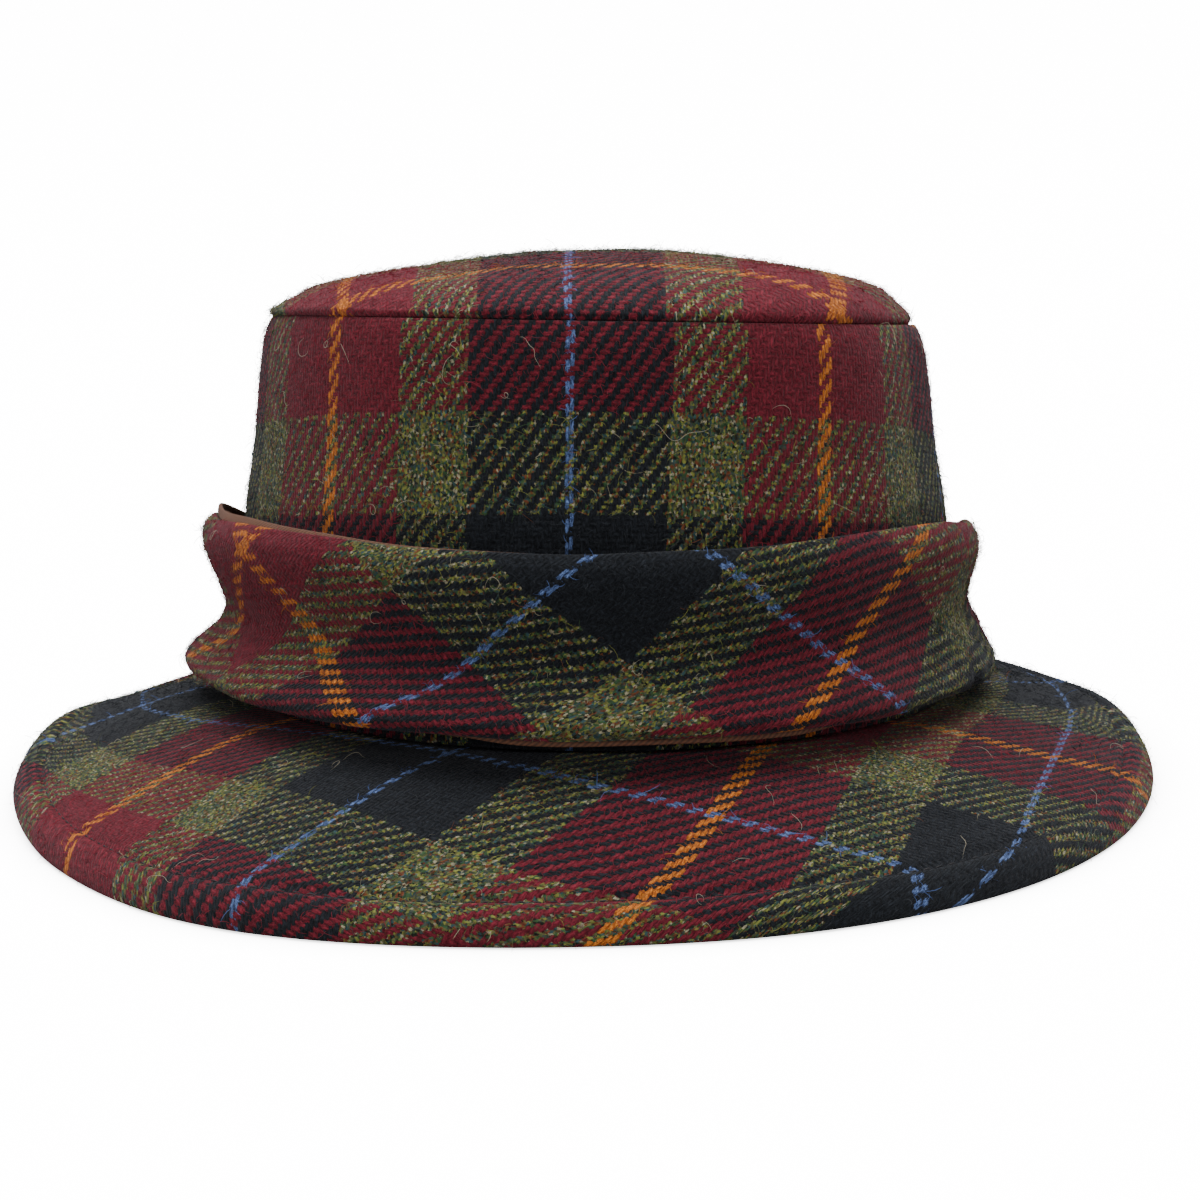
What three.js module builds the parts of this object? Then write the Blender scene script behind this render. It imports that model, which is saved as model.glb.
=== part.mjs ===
// A tweed hat: a domed oval tip, a flared side band, a standing cuff round its foot and a
// sloping brim. Millimetres, +Z up, the front towards -Y and +X to the right as the front is
// seen. The origin lies on the plane that the rim rests on, below the middle of the rim.
import * as THREE from 'three';

// Driving dimensions, worked out from the outline and a 58 cm head size
const segments = 64;
const rim = { halfWidth: 140.4, halfDepth: 153, exponent: 2.2, lip: 2, foot: 2.8, bevel: 0.5 };
const crown = { x: 5.1, y: 3, seamHeight: 111.7 };
// How far a ring moves sideways and forwards for each millimetre that it lies below the seam
const drift = { x: 0.013, y: 0.085 };
const wall = { tip: 2, side: 2, cuff: 2.4, trim: 1.1, brim: 2.6 };
const gap = 0.3;

// How each ring of the crown stands: lower at the back by the tilt and at the right by the
// lean, both in degrees, with its depth over its width and how square it is. The cuff's upper
// edge sags at both sides, and more at the right
const sideStance = [
  { level: 0, tilt: 8.6, lean: 2.1, depth: 1.12, exponent: 2.12 },
  { level: -88.8, tilt: 4.3, lean: 1.2, depth: 1.13, exponent: 1.92 },
];
const cuffStance = [
  { level: -44.4, tilt: 5.1, lean: 0.7, depth: 1.14, exponent: 1.88, sagLeft: 2.4, sagRight: 4.5 },
  { level: -85.2, tilt: 4.4, lean: 1.3, depth: 1.15, exponent: 1.94, sagLeft: 0, sagRight: 0 },
];
const sagPower = 5;

// The tip from its middle outwards, as shares of the seam's half width and of the dome's rise
const domeRise = 16.8;
const domeLean = 0.15;
const tipRows = [
  { reach: 0.2, rise: 0.98 },
  { reach: 0.4, rise: 0.89 },
  { reach: 0.6, rise: 0.76 },
  { reach: 0.75, rise: 0.64 },
  { reach: 0.86, rise: 0.51 },
  { reach: 0.94, rise: 0.32 },
  { reach: 0.985, rise: 0.17 },
  { reach: 1, rise: 0.09 },
  { reach: 0.992, rise: 0.03 },
];

// The side band from the tip's seam (level 0) down to the head opening
const sideRows = [
  { level: 0, halfWidth: 78.7 },
  { level: -5, halfWidth: 80.1 },
  { level: -15, halfWidth: 81.6 },
  { level: -30, halfWidth: 83.2 },
  { level: -45, halfWidth: 85.6 },
  { level: -60, halfWidth: 86.4 },
  { level: -75, halfWidth: 86.6 },
  { level: -88.8, halfWidth: 87.6 },
];

// The cuff is drawn in round its waist and flares to both edges; shift moves a ring sideways
const cuffRows = [
  { level: -44.4, halfWidth: 93.4, shift: -0.5 },
  { level: -46.9, halfWidth: 95, shift: -0.9 },
  { level: -51.5, halfWidth: 95.5, shift: -0.9 },
  { level: -56, halfWidth: 94.4, shift: -0.6 },
  { level: -63, halfWidth: 92.1, shift: 0 },
  { level: -69, halfWidth: 91.2, shift: 0.4 },
  { level: -74, halfWidth: 93.8, shift: 0.4 },
  { level: -79, halfWidth: 98.2, shift: -0.8 },
  { level: -85.2, halfWidth: 101.6, shift: -1.4 },
];

// The brown facing strips run inside the cuff's two edges and show just past them
const upperFacing = { from: -43.9, to: -56, rows: 4, leftRise: 0.8 };
const lowerFacing = { from: -76, to: -86.4, rows: 4 };

// The brim falls from the head opening to the stitched line, then turns down to the rim
const stitchLine = { inset: 7, height: 6.4, tilt: 1 };
const brimRows = [
  { out: 0, rise: 1 },
  { out: 0.12, rise: 0.97 },
  { out: 0.28, rise: 0.87 },
  { out: 0.46, rise: 0.7 },
  { out: 0.64, rise: 0.48 },
  { out: 0.82, rise: 0.24 },
  { out: 1, rise: 0 },
];

const slope = (degrees) => Math.tan(THREE.MathUtils.degToRad(degrees));
const signedPower = (value, power) => Math.sign(value) * Math.abs(value) ** power;

// Points of a closed ring, one for each step round the hat; an exponent over 2 is squarer
function ringOf(exponent, place) {
  return Array.from({ length: segments }, (_, step) => {
    const angle = (2 * Math.PI * step) / segments;
    const across = signedPower(Math.cos(angle), 2 / exponent);
    const along = signedPower(Math.sin(angle), 2 / exponent);
    return place(across, along);
  });
}

// The value of one column of a table at a level, straight between its rows
function valueAt(rows, column, level) {
  const descending = rows[0].level > rows[rows.length - 1].level ? rows : [...rows].reverse();
  let next = descending.findIndex((row) => row.level <= level);
  next = THREE.MathUtils.clamp(next < 0 ? descending.length - 1 : next, 1, descending.length - 1);
  const [above, below] = [descending[next - 1], descending[next]];
  const share = (level - above.level) / (below.level - above.level);
  return THREE.MathUtils.lerp(above[column], below[column], share);
}

// A ring of the crown or cuff, in the crown's own tilted stance
function crownRing(level, halfWidth, stance, shift = 0, rise = () => 0) {
  const tilt = slope(valueAt(stance, 'tilt', level));
  const lean = slope(valueAt(stance, 'lean', level));
  const depth = valueAt(stance, 'depth', level);
  return ringOf(valueAt(stance, 'exponent', level), (across, along) => {
    const x = halfWidth * across + shift;
    const y = halfWidth * depth * along;
    const z = level - y * tilt - x * lean + rise(across);
    const middle = { x: crown.x + level * drift.x, y: crown.y + level * drift.y };
    return new THREE.Vector3(middle.x + x, middle.y + y, crown.seamHeight + z);
  });
}

// Rings moved to the cloth's inner face, along the outer face's own normals
function innerFace(rings, thickness) {
  return rings.map((ring, row) => {
    const above = rings[Math.max(row - 1, 0)];
    const below = rings[Math.min(row + 1, rings.length - 1)];
    return ring.map((point, step) => {
      const down = new THREE.Vector3().subVectors(below[step], above[step]);
      const next = ring[(step + 1) % segments];
      const last = ring[(step + segments - 1) % segments];
      const round = new THREE.Vector3().subVectors(next, last);
      const outward = down.cross(round).normalize();
      return point.clone().addScaledVector(outward, -thickness);
    });
  });
}

// A closed body through rings that run down the outer face and back up the inner one.
// A body with a top is closed over the middle instead of joining its last ring to its first.
function bodyThrough(rings, middles) {
  const positions = rings.flat().flatMap((point) => point.toArray());
  const indices = [];
  const at = (row, step) => row * segments + (step % segments);
  const lastRow = middles ? rings.length - 1 : rings.length;
  for (let row = 0; row < lastRow; row += 1) {
    const next = (row + 1) % rings.length;
    for (let step = 0; step < segments; step += 1) {
      indices.push(at(row, step), at(next, step), at(next, step + 1));
      indices.push(at(row, step), at(next, step + 1), at(row, step + 1));
    }
  }
  if (middles) {
    const top = rings.length * segments;
    positions.push(...middles.outer.toArray(), ...middles.inner.toArray());
    for (let step = 0; step < segments; step += 1) {
      indices.push(top, at(0, step), at(0, step + 1));
      indices.push(top + 1, at(rings.length - 1, step + 1), at(rings.length - 1, step));
    }
  }
  const geometry = new THREE.BufferGeometry();
  geometry.setAttribute('position', new THREE.Float32BufferAttribute(positions, 3));
  geometry.setIndex(indices);
  geometry.computeVertexNormals();
  return geometry;
}

const withInnerFace = (rings, thickness) => [...rings, ...innerFace(rings, thickness).reverse()];

// The oval tip is cut as one piece, domed and rolled over at the seam
function crownTip() {
  const seamWidth = sideRows[0].halfWidth;
  const lift = gap + 0.1;
  const rings = tipRows.map(({ reach, rise }) =>
    crownRing(0, seamWidth * reach, sideStance, 0, (across) => {
      const swell = 1 + domeLean * reach * across;
      return lift + domeRise * rise * swell;
    }),
  );
  const outer = new THREE.Vector3(crown.x, crown.y, crown.seamHeight + lift + domeRise);
  const inner = outer.clone().setZ(outer.z - wall.tip);
  return bodyThrough(withInnerFace(rings, wall.tip), { outer, inner });
}

// The side band stands on the brim's inner edge
function crownSide() {
  const rings = sideRows.map(({ level, halfWidth }) => crownRing(level, halfWidth, sideStance));
  return bodyThrough(withInnerFace(rings, wall.side));
}

const cuffRing = (level, leftRise = 0) => {
  const halfWidth = valueAt(cuffRows, 'halfWidth', level);
  const shift = valueAt(cuffRows, 'shift', level);
  return crownRing(level, halfWidth, cuffStance, shift, (across) => {
    const sag = valueAt(cuffStance, across < 0 ? 'sagLeft' : 'sagRight', level);
    return -sag * Math.abs(across) ** sagPower - leftRise * across;
  });
};

// The cuff is a bias-cut band, sewn to the side band round its waist
function cuff() {
  return bodyThrough(withInnerFace(cuffRows.map(({ level }) => cuffRing(level)), wall.cuff));
}

// A facing strip follows the cuff's inner face and stands past its edge
function facing({ from, to, rows, leftRise = 0 }) {
  const rings = Array.from({ length: rows }, (_, row) => {
    const level = THREE.MathUtils.lerp(from, to, row / (rows - 1));
    return cuffRing(level, leftRise * (1 - row / (rows - 1)));
  });
  const against = innerFace(rings, wall.cuff + 2 * gap);
  return bodyThrough(withInnerFace(against, wall.trim));
}

// The brim is two plies of tweed, stitched together near the edge, with a rolled rim
function brim() {
  const base = sideStance[1];
  const opening = crownRing(base.level - gap, sideRows.at(-1).halfWidth - wall.side, sideStance);
  const stitches = ringOf(rim.exponent, (across, along) => {
    const x = (rim.halfWidth - stitchLine.inset) * across;
    const y = (rim.halfDepth - stitchLine.inset) * along;
    return new THREE.Vector3(x, y, stitchLine.height - y * slope(stitchLine.tilt));
  });
  const rimRing = (inset, height) =>
    ringOf(rim.exponent, (across, along) => {
      const x = (rim.halfWidth - inset) * across;
      return new THREE.Vector3(x, (rim.halfDepth - inset) * along, height);
    });
  const fall = brimRows.map(({ out, rise }) =>
    opening.map((point, step) => {
      const outer = stitches[step];
      const height = THREE.MathUtils.lerp(outer.z, point.z, rise);
      return point.clone().lerp(outer, out).setZ(height);
    }),
  );
  const upper = [...fall, rimRing(0, rim.lip)];
  const edge = [rimRing(rim.bevel, 0), rimRing(rim.bevel + rim.foot, 0)];
  const under = innerFace(upper, wall.brim).slice(0, -1).reverse();
  return bodyThrough([...upper, ...edge, ...under]);
}

const tweed = { color: 0x4a2b2c, roughness: 0.95, metalness: 0 };
const brownCloth = { color: 0x5e3d2b, roughness: 0.9, metalness: 0 };

const hat = new THREE.Group();
const pieces = [
  { name: 'crown_tip', geometry: crownTip(), finish: tweed },
  { name: 'crown_side', geometry: crownSide(), finish: tweed },
  { name: 'cuff', geometry: cuff(), finish: tweed },
  { name: 'cuff_upper_facing', geometry: facing(upperFacing), finish: brownCloth },
  { name: 'cuff_lower_facing', geometry: facing(lowerFacing), finish: brownCloth },
  { name: 'brim', geometry: brim(), finish: tweed },
];
for (const { name, geometry, finish } of pieces) {
  const mesh = new THREE.Mesh(geometry, new THREE.MeshStandardMaterial(finish));
  mesh.name = name;
  hat.add(mesh);
}

export default hat;
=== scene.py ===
"""A soft tweed hat: domed oval tip, flared side band, standing cuff with brown facings, sloping brim."""
import math

import bpy
import numpy as np
from mathutils import Matrix


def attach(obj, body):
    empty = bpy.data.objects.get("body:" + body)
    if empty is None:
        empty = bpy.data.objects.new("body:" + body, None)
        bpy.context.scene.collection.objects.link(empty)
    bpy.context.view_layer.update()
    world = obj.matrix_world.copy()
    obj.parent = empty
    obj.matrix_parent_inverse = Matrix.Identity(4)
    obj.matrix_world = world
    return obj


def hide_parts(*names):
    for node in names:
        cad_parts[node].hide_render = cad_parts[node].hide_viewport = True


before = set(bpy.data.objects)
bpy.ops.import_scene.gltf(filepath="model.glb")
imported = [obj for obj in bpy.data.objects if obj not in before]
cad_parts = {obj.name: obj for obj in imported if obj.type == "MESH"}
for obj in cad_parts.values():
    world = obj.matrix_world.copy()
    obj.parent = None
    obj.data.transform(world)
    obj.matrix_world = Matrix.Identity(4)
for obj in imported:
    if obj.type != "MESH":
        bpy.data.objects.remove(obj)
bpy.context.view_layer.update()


# The camera stands about a metre in front of the hat, a little above it, looking down 12.7 degrees.
# It is turned 1.2 degrees about its own axis, so the right side of the picture goes up.
camera_lens = bpy.data.cameras.new("camera")
camera_lens.lens = 123.09
camera_lens.sensor_width = 36
camera_lens.clip_end = 50
camera = bpy.data.objects.new("camera", camera_lens)
bpy.context.scene.collection.objects.link(camera)
camera_place = (0.005, -0.9935, 0.265)
degrees_down = 12.66
degrees_turned = -1.22
looking_down = Matrix.Rotation(math.radians(90 - degrees_down), 4, "X")
turned = Matrix.Rotation(math.radians(degrees_turned), 4, "Z")
camera.matrix_world = Matrix.Translation(camera_place) @ looking_down @ turned
bpy.context.scene.camera = camera


# Side band: one cut of wool tweed, sewn into a slightly flared tube with its seam at the back. The tweed
# is a brushed 2/2 twill, with 1.0 mm between warp ends and 1.3 mm between weft picks. Its check repeats
# every 128 threads both ways: wine, olive heather and black, with single orange and blue lines.
columns = 320
round_the_head = np.linspace(0, 2 * math.pi, columns + 1)
crown_middle = (5.1, 3.0)
seam_height = 111.7
drift = (0.013, 0.085)
side_stance = [
    # level, tilt, lean, depth, exponent
    (0, 8.6, 2.1, 1.12, 2.12),
    (-88.8, 4.3, 1.2, 1.13, 1.92),
]
side_rows = [
    # level, half width
    (0, 78.7), (-5, 80.1), (-15, 81.6), (-30, 83.2), (-45, 85.6), (-60, 86.4), (-75, 86.6), (-88.8, 87.6),
]
side_thickness = 2.0


def column_at(rows, column, at):
    """A smooth curve through one column of a table, read against its first column."""
    table = np.array(rows, float)
    if table[0, 0] > table[-1, 0]:
        table = table[::-1]
    x, y = table[:, 0], table[:, column]
    slope = np.gradient(y, x)
    found = np.clip(np.searchsorted(x, at) - 1, 0, len(x) - 2)
    width = x[found + 1] - x[found]
    t = np.clip((at - x[found]) / width, 0, 1)
    value = (2 * t**3 - 3 * t**2 + 1) * y[found] + (3 * t**2 - 2 * t**3) * y[found + 1]
    return value + width * ((t**3 - 2 * t**2 + t) * slope[found] + (t**3 - t**2) * slope[found + 1])


def oval(exponent):
    """Shares across and along an oval, from the middle of the back round by the left to the front and on."""
    side, back = np.sin(round_the_head), np.cos(round_the_head)
    across = -np.sign(side) * abs(side) ** (2 / exponent)
    along = np.sign(back) * abs(back) ** (2 / exponent)
    return across, along


def ease(value, start, end):
    """0 before start, 1 after end, and smooth between them."""
    t = np.clip((value - start) / (end - start), 0, 1)
    return t * t * (3 - 2 * t)


def crown_ring(level, half_width, stance, shift=0.0, rise=None):
    """A ring round the leaning crown, in millimetres. Levels are 0 at the tip's seam and less below it."""
    tilt = math.tan(math.radians(column_at(stance, 1, level)))
    lean = math.tan(math.radians(column_at(stance, 2, level)))
    across, along = oval(column_at(stance, 4, level))
    x = half_width * across + shift
    y = half_width * column_at(stance, 3, level) * along
    z = level - y * tilt - x * lean
    if rise is not None:
        z = z + rise(across, along)
    place = (crown_middle[0] + level * drift[0] + x, crown_middle[1] + level * drift[1] + y, seam_height + z)
    return np.stack(place, 1)


def waves(rows, height, across=(3, 5, 8), seed=1):
    """Slow swells in soft cloth, the same at both ends of the back seam."""
    random = np.random.RandomState(seed)
    down = np.linspace(0, 1, rows)[:, None]
    total = np.zeros((rows, columns + 1))
    for turns in across:
        phase, drop = random.uniform(0, 2 * math.pi), random.uniform(-3, 3)
        total += np.sin(turns * round_the_head + phase + drop * down) / len(across)
    return height * total


def outward(rings):
    """Which way each point of a grid of rings faces."""
    down = np.gradient(rings, axis=0)
    ahead = (np.roll(rings[:, :-1], -1, 1) - np.roll(rings[:, :-1], 1, 1)) / 2
    ahead = np.concatenate([ahead, ahead[:, :1]], 1)
    facing = np.cross(down, ahead)
    return facing / np.maximum(np.linalg.norm(facing, axis=2), 1e-9)[:, :, None]


def along_cloth(rings):
    """How far each point lies along the piece's first ring from the front, and how far down from it."""
    first = np.linalg.norm(np.diff(rings[0], axis=0), axis=1)
    along = np.concatenate([[0], np.cumsum(first)])
    along = along - along[columns // 2]
    slant = np.linalg.norm(np.diff(rings, axis=0), axis=2)
    down = np.concatenate([np.zeros((1, columns + 1)), np.cumsum(slant, axis=0)])
    return np.broadcast_to(along, down.shape), down


def back_seam(depth, width, along):
    """A groove where the ends of a piece are sewn together."""
    end = abs(along[:, -1:]) - abs(along)
    return -depth * np.exp(-(np.maximum(end, 0) / width) ** 2)


def mesh_object(name, points, faces, cloth=None):
    """A smooth mesh from points in millimetres, none below the plane that the hat stands on.
    Cloth holds each point's place in the weave, in warp and weft threads."""
    mesh = bpy.data.meshes.new(name)
    mesh.from_pydata((np.maximum(points, (-1000, -1000, 0)) * 0.001).tolist(), [], faces)
    mesh.update()
    mesh.polygons.foreach_set("use_smooth", [True] * len(mesh.polygons))
    if cloth is not None:
        threads = mesh.attributes.new("cloth", "FLOAT_VECTOR", "POINT")
        flat = np.concatenate([cloth, np.zeros((len(cloth), 1))], 1)
        threads.data.foreach_set("vector", flat.astype(np.float32).ravel())
    made = bpy.data.objects.new(name, mesh)
    bpy.context.scene.collection.objects.link(made)
    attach(made, "root")
    return made


def wall(name, outer, thickness, along, down, threads, turned_edges=(True, True)):
    """A closed wall of cloth, open in the middle like a tube, with its two ends meeting at the back.
    Threads gives the warp and weft count at a place on the flat cloth."""
    facing = outward(outer)
    inner = outer - facing * thickness
    loop, places = [*outer], [*down]
    bottom_pull = outer[-1] - outer[-2]
    top_pull = outer[0] - outer[1]
    arc = [math.pi * k / 8 for k in range(1, 8)]

    def turned_edge(row, pull, start, sign, angles):
        pull = pull / np.linalg.norm(pull, axis=1)[:, None]
        middle = (outer[row] + inner[row]) / 2
        half = thickness / 2
        for angle in angles:
            loop.append(middle + facing[row] * half * math.cos(angle) + pull * half * math.sin(angle))
            places.append(start + sign * half * min(angle, math.pi - angle))

    if turned_edges[1]:
        turned_edge(-1, bottom_pull, down[-1], 1, arc)
    loop.extend(inner[::-1])
    places.extend(down[::-1])
    if turned_edges[0]:
        turned_edge(0, top_pull, down[0], -1, arc[::-1])
    points, places = np.array(loop), np.array(places)
    rows, across = points.shape[:2]
    faces = []
    for row in range(rows):
        below = (row + 1) % rows
        for column in range(across - 1):
            faces.append((row * across + column, below * across + column,
                          below * across + column + 1, row * across + column + 1))
    for row in range(len(outer) - 1):
        back = len(outer) * 2 - 1 - row + (len(arc) if turned_edges[1] else 0)
        faces.append((row * across, back * across, (back - 1) * across, (row + 1) * across))
        faces.append((row * across + columns, (row + 1) * across + columns,
                      (back - 1) * across + columns, back * across + columns))
    ends, picks = threads(np.broadcast_to(along[0], places.shape), places)
    cloth = np.stack([ends.ravel(), picks.ravel()], 1)
    return mesh_object(name, points.reshape(-1, 3), faces, cloth)


def nap(name, rings, cloth, count, length, stand, seed):
    """Brushed wool fibres on a grid of rings: thin curling ribbons, about four times as wide as real ones
    so that they show. Each has the place in the cloth that its root has, one in ten stands up, and stand
    is how far the others lift, in degrees."""
    random = np.random.RandomState(seed)
    facing = outward(rings)
    down, ahead = np.gradient(rings, axis=0), np.gradient(rings, axis=1)
    size = np.linalg.norm(np.cross(down, ahead), axis=2)[:-1, :-1]
    chosen = random.choice(size.size, count, p=(size / size.sum()).ravel())
    row, column = np.unravel_index(chosen, size.shape)
    u, v = random.uniform(size=(2, count, 1))

    def at(values):
        top = values[row, column] * (1 - u) + values[row, column + 1] * u
        bottom = values[row + 1, column] * (1 - u) + values[row + 1, column + 1] * u
        return top * (1 - v) + bottom * v

    point, normal = at(rings), at(facing)
    tangent = at(ahead)
    tangent = tangent / np.linalg.norm(tangent, axis=1)[:, None]
    other = np.cross(normal, tangent)
    angle = random.uniform(0, 2 * math.pi, (count, 1))
    curl = random.normal(0, 0.55, (count, 1))
    upright = random.uniform(size=(count, 1)) < 0.1
    lift = np.radians(np.abs(random.normal(0, stand, (count, 1))) + 6)
    lift = np.where(upright, np.radians(random.uniform(35, 80, (count, 1))), lift)
    reach = length * random.lognormal(0, 0.35, (count, 1)) / 4
    thick = random.uniform(0.035, 0.07, (count, 1))
    leaning = tangent * np.cos(angle) + other * np.sin(angle)
    flat_way = np.cross(leaning, normal + random.normal(0, 0.7, (count, 3)))
    flat_way = flat_way / np.maximum(np.linalg.norm(flat_way, axis=1), 1e-6)[:, None] * thick
    root_depth = 0.12
    point = point - normal * root_depth
    sides = [point - flat_way, point + flat_way]
    for step in range(4):
        heading = tangent * np.cos(angle + curl * step) + other * np.sin(angle + curl * step)
        climb = lift * (1 - np.where(upright, 0.25, 0.55) * step)
        point = point + (heading * np.cos(climb) + normal * np.sin(climb)) * reach
        if step < 3:
            sides += [point - flat_way, point + flat_way]
    points = np.stack([*sides, point], 1)
    corners = points.shape[1]
    first = np.arange(count) * corners
    faces = []
    for step in (0, 2, 4):
        faces += np.stack([first + step, first + step + 1, first + step + 3, first + step + 2], 1).tolist()
    faces += np.stack([first + 6, first + 7, first + 8], 1).tolist()
    return mesh_object(name, points.reshape(-1, 3), faces, np.repeat(at(cloth), corners, axis=0))


def linear(hex_colour):
    """An sRGB hex colour as the linear values that the shader takes."""
    parts = [int(hex_colour[k:k + 2], 16) / 255 for k in (1, 3, 5)]
    return tuple(p / 12.92 if p <= 0.04045 else ((p + 0.055) / 1.055) ** 2.4 for p in parts) + (1.0,)


def add(material, kind, settings=None, links=None):
    """Adds one node to a material. Links go by socket number or name, to a value or another node's output."""
    made = material.node_tree.nodes.new(kind)
    for name, value in (settings or {}).items():
        setattr(made, name, value)
    for socket, value in (links or {}).items():
        if isinstance(value, bpy.types.NodeSocket):
            material.node_tree.links.new(value, made.inputs[socket])
        else:
            made.inputs[socket].default_value = value
    return made


def new_material(name):
    """An empty material with a Principled shader on its surface."""
    material = bpy.data.materials.new(name)
    material.use_nodes = True
    material.node_tree.nodes.clear()
    surface = add(material, "ShaderNodeBsdfPrincipled")
    add(material, "ShaderNodeOutputMaterial", None, {0: surface.outputs[0]})
    return material, surface


threads_in_check = 128


def stripes(ramp, colours):
    order = [(0, "blue"), (1, "black"), (24, "olive"), (42, "wine"), (62, "orange"), (66, "wine"),
             (86, "olive"), (104, "black"), (127, "blue")]
    ramp.interpolation = "CONSTANT"
    while len(ramp.elements) < len(order):
        ramp.elements.new(0.5)
    for stop, (thread, colour) in zip(ramp.elements, order):
        stop.position = thread / threads_in_check
        stop.color = linear(colours[colour])


# Wool tweed, spun from dyed and blended fleece, woven in a 2/2 twill and brushed: matt, with painted shade
# in the crossings between rounded floats and a painted highlight on their crowns, flecks of other colours in
# the olive heather, and a soft bloom at grazing angles.
# The place in the cloth wavers by a fraction of a thread, as hairy yarns do.
tweed, tweed_surface = new_material("brushed wool twill")
place = add(tweed, "ShaderNodeAttribute", {"attribute_name": "cloth"})
slow = add(tweed, "ShaderNodeTexNoise", {"noise_dimensions": "3D"},
           {0: place.outputs[1], "Scale": 0.11, "Detail": 1.0})
slow_shift = add(tweed, "ShaderNodeVectorMath", {"operation": "MULTIPLY_ADD"},
                 {0: slow.outputs[1], 1: (1.1, 1.1, 0), 2: (-0.55, -0.55, 0)})
fine = add(tweed, "ShaderNodeTexNoise", {"noise_dimensions": "3D"},
           {0: place.outputs[1], "Scale": 1.9, "Detail": 4.0, "Roughness": 0.75})
fine_shift = add(tweed, "ShaderNodeVectorMath", {"operation": "MULTIPLY_ADD"},
                 {0: fine.outputs[1], 1: (0.95, 0.95, 0), 2: (-0.475, -0.475, 0)})
shift = add(tweed, "ShaderNodeVectorMath", {"operation": "ADD"},
            {0: slow_shift.outputs[0], 1: fine_shift.outputs[0]})
thread_place = add(tweed, "ShaderNodeVectorMath", {"operation": "ADD"},
                   {0: place.outputs[1], 1: shift.outputs[0]})
thread_number = add(tweed, "ShaderNodeVectorMath", {"operation": "FLOOR"}, {0: thread_place.outputs[0]})
across_thread = add(tweed, "ShaderNodeVectorMath", {"operation": "SUBTRACT"},
                    {0: thread_place.outputs[0], 1: thread_number.outputs[0]})
at = add(tweed, "ShaderNodeSeparateXYZ", None, {0: thread_place.outputs[0]})
number = add(tweed, "ShaderNodeSeparateXYZ", None, {0: thread_number.outputs[0]})
inside = add(tweed, "ShaderNodeSeparateXYZ", None, {0: across_thread.outputs[0]})

# Each warp end lies over two picks and under two, and the end beside it does so one pick away.
warp_turn = add(tweed, "ShaderNodeMath", {"operation": "ADD"}, {0: number.outputs[0], 1: at.outputs[1]})
warp_angle = add(tweed, "ShaderNodeMath", {"operation": "MULTIPLY_ADD"},
                 {0: warp_turn.outputs[0], 1: math.pi / 2, 2: -math.pi / 2})
warp_wave = add(tweed, "ShaderNodeMath", {"operation": "COSINE"}, {0: warp_angle.outputs[0]})
weft_turn = add(tweed, "ShaderNodeMath", {"operation": "ADD"}, {0: at.outputs[0], 1: number.outputs[1]})
weft_angle = add(tweed, "ShaderNodeMath", {"operation": "MULTIPLY_ADD"},
                 {0: weft_turn.outputs[0], 1: math.pi / 2, 2: math.pi / 2})
weft_wave = add(tweed, "ShaderNodeMath", {"operation": "COSINE"}, {0: weft_angle.outputs[0]})
warp_rise = add(tweed, "ShaderNodeMath", {"operation": "ADD"}, {0: warp_wave.outputs[0], 1: 0.3})
warp_side = add(tweed, "ShaderNodeMath", {"operation": "PINGPONG"}, {0: inside.outputs[0], 1: 0.5})
weft_side = add(tweed, "ShaderNodeMath", {"operation": "PINGPONG"}, {0: inside.outputs[1], 1: 0.5})
warp_round = add(tweed, "ShaderNodeMath", {"operation": "POWER"}, {0: warp_side.outputs[0], 1: 0.5})
weft_round = add(tweed, "ShaderNodeMath", {"operation": "POWER"}, {0: weft_side.outputs[0], 1: 0.5})
warp_height = add(tweed, "ShaderNodeMath", {"operation": "MULTIPLY_ADD"},
                  {0: warp_round.outputs[0], 1: 3.4, 2: warp_rise.outputs[0]})
weft_height = add(tweed, "ShaderNodeMath", {"operation": "MULTIPLY_ADD"},
                  {0: weft_round.outputs[0], 1: 3.4, 2: weft_wave.outputs[0]})
lead = add(tweed, "ShaderNodeMath", {"operation": "SUBTRACT"},
           {0: warp_height.outputs[0], 1: weft_height.outputs[0]})
warp_on_top = add(tweed, "ShaderNodeMath", {"operation": "GREATER_THAN"}, {0: lead.outputs[0], 1: 0.0})
top_height = add(tweed, "ShaderNodeMath", {"operation": "SMOOTH_MAX"},
                 {0: warp_height.outputs[0], 1: weft_height.outputs[0], 2: 0.25})
top_thread = add(tweed, "ShaderNodeMix", {"data_type": "FLOAT"},
                 {0: warp_on_top.outputs[0], 2: number.outputs[1], 3: number.outputs[0]})

# Fibres run along whichever yarn is on top. Wool of 0.025 mm is too fine to show, so four or five are
# drawn to a yarn's width of 1 mm.
warp_fibres = add(tweed, "ShaderNodeVectorMath", {"operation": "MULTIPLY"},
                  {0: thread_place.outputs[0], 1: (4.5, 1.1, 1)})
weft_fibres = add(tweed, "ShaderNodeVectorMath", {"operation": "MULTIPLY"},
                  {0: thread_place.outputs[0], 1: (1.1, 4.5, 1)})
fibre_place = add(tweed, "ShaderNodeMix", {"data_type": "VECTOR"},
                  {0: warp_on_top.outputs[0], 4: weft_fibres.outputs[0], 5: warp_fibres.outputs[0]})
fibres = add(tweed, "ShaderNodeTexNoise", {"noise_dimensions": "3D"},
             {0: fibre_place.outputs[1], "Scale": 1.0, "Detail": 2.0, "Roughness": 0.6, "Distortion": 0.6})
fleece = add(tweed, "ShaderNodeTexNoise", {"noise_dimensions": "3D"},
             {0: thread_place.outputs[0], "Scale": 1.35, "Detail": 3.0, "Roughness": 0.7, "Distortion": 2.2})
share = add(tweed, "ShaderNodeMath", {"operation": "MULTIPLY_ADD"},
            {0: top_thread.outputs[0], 1: 1 / threads_in_check, 2: 0.5 / threads_in_check})
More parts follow.
